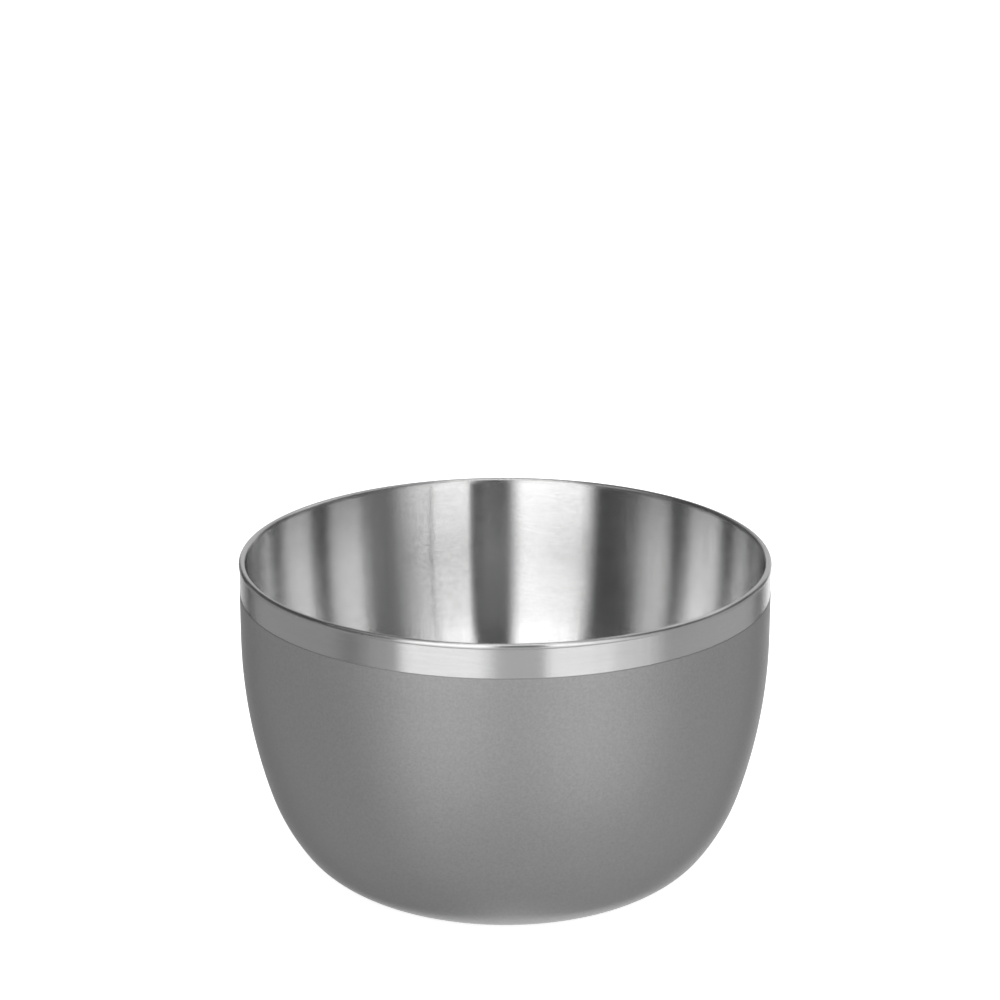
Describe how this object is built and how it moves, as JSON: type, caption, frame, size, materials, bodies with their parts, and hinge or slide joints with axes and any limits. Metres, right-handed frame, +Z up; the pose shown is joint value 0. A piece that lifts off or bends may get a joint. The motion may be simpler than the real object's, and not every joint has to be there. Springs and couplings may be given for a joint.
{
  "type": "insulated bowl",
  "caption": "Round vacuum-walled metal bowl with a rounded lip, a bare band below it and a coated outside, open at the top and standing on a foot ring.",
  "frame": {"origin": "centre of the foot ring, on the surface that the bowl stands on", "axes": "+Z up along the bowl's axis, out of its mouth; X and Y are level and alike, because the bowl is round"},
  "size_m": [0.152, 0.152, 0.094],
  "materials": {
    "brushed_liner": "brushed round the axis",
    "brushed_shell": "brushed round the axis",
    "polished_lip": "fine polished",
    "grey_powder": "matte powder with a fine orange peel",
    "pressed_base": "satin, as pressed",
    "weld_bead": "rippled weld",
    "brushed_cap": "spun brushed",
    "solder_glass": "fused",
    "holder_sheet": "satin",
    "getter_pill": "pressed powder"
  },
  "bodies": {
    "root": {"inner_bowl": "brushed_liner", "outer_shell": "brushed_shell", "rim_bead": "polished_lip", "powder_coat": "grey_powder", "base_plate": "pressed_base", "base_weld": "weld_bead", "base_cap": "brushed_cap", "seal_glass": "solder_glass", "getter_holder": "holder_sheet", "getter": "getter_pill"}
  },
  "joints": []
}
